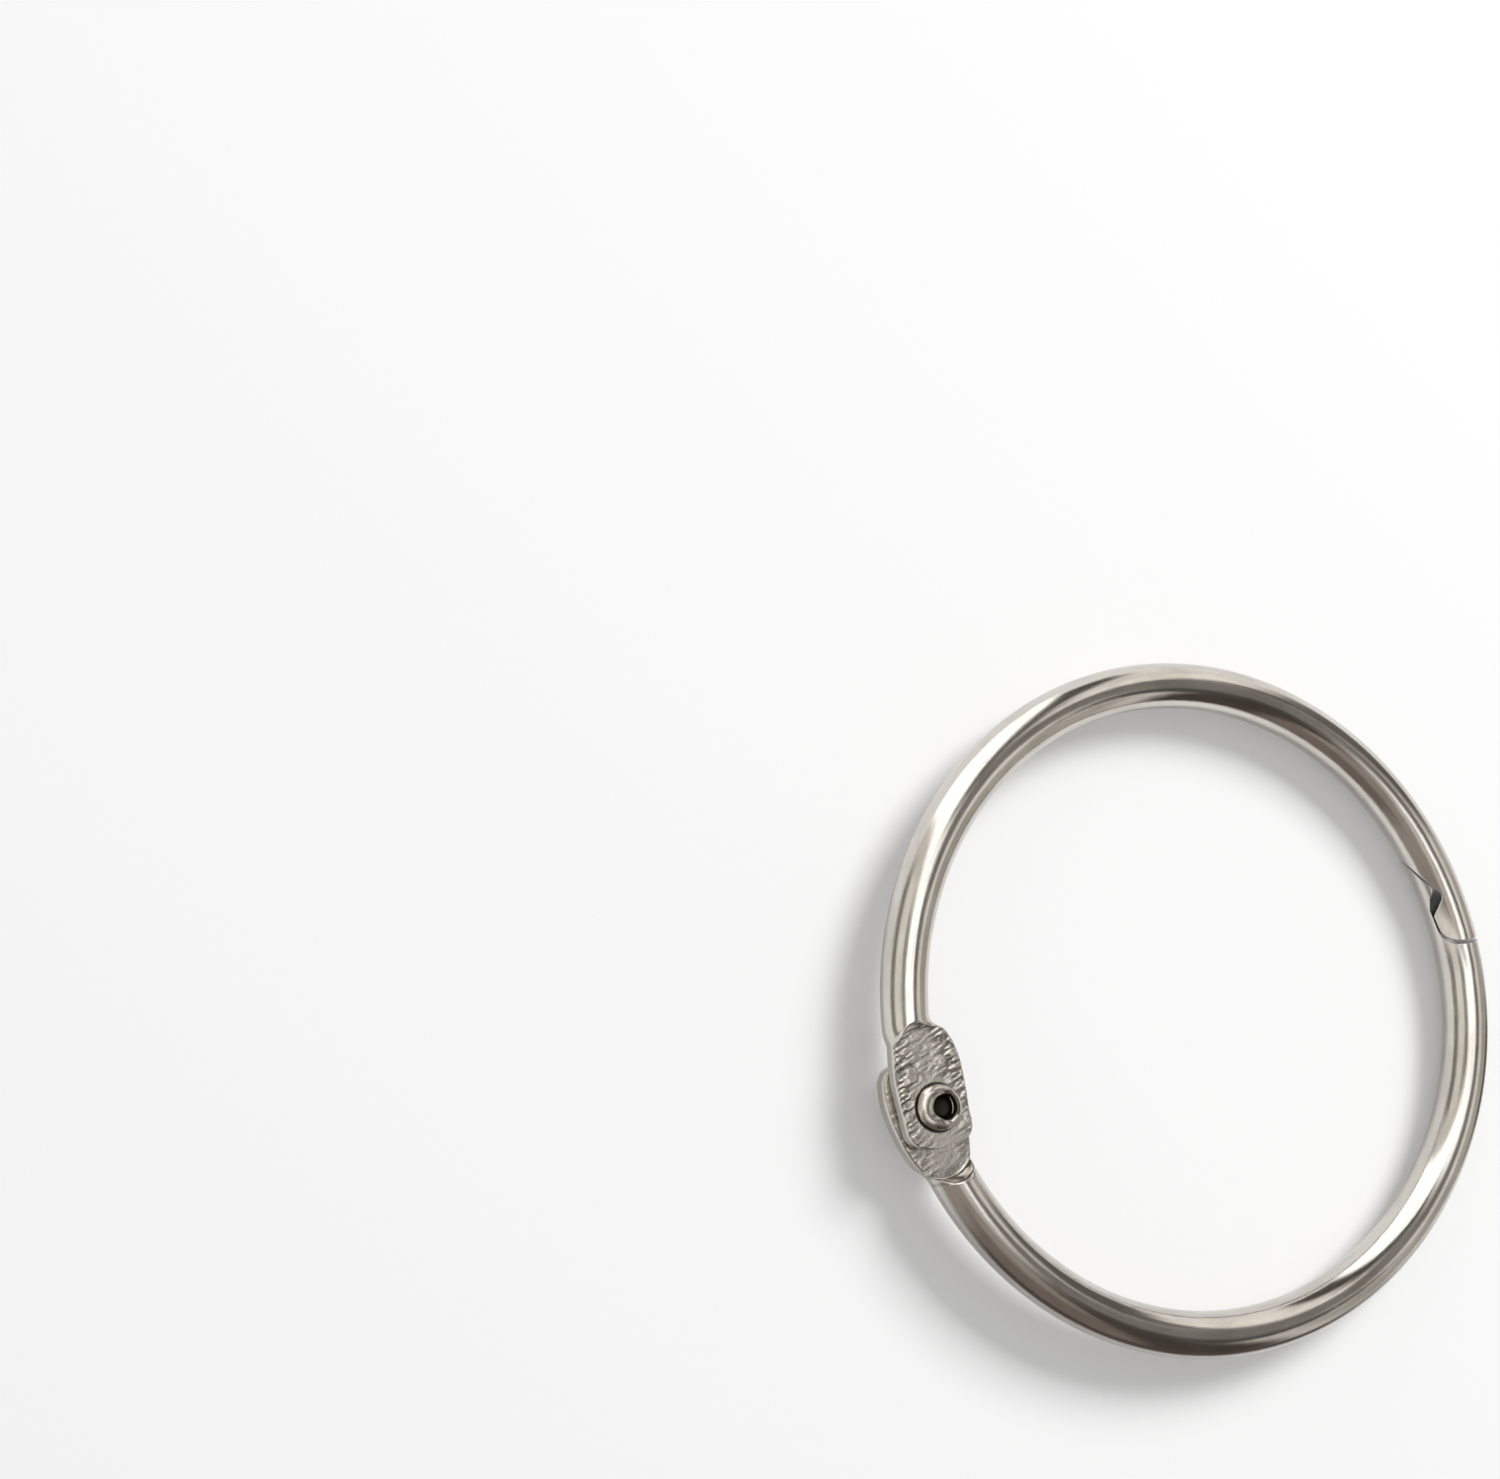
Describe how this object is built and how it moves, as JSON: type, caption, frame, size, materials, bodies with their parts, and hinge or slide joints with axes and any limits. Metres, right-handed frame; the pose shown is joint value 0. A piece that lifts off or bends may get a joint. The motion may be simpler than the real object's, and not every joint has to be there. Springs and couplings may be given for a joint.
{
  "type": "binder ring",
  "caption": "Hinged round-wire binder ring whose halves turn on a rivet through flattened ends and close with interlocking hooks.",
  "frame": {"origin": "centre of the closed ring, in the mid-plane of its wire", "axes": "+X from the hinge towards the clasp, +Y towards the half whose flattened end lies on top, +Z along the rivet from its domed head to its rolled tail"},
  "size_m": [0.0462, 0.045, 0.0047],
  "materials": {
    "ring_nickel": "bright nickel plate over drawn steel wire, with fine draw lines",
    "rivet_nickel": "bright nickel plate over headed steel"
  },
  "bodies": {
    "lower_half": {"lower_half_ring": "ring_nickel", "hinge_rivet": "rivet_nickel"},
    "upper_half": {"upper_half_ring": "ring_nickel"}
  },
  "joints": [
    {"name": "ring_hinge", "type": "hinge", "parent": "lower_half", "child": "upper_half", "pos_m": [-0.0206, 0, 0], "axis": [0, 0, 1], "range_deg": [0, 120]}
  ]
}
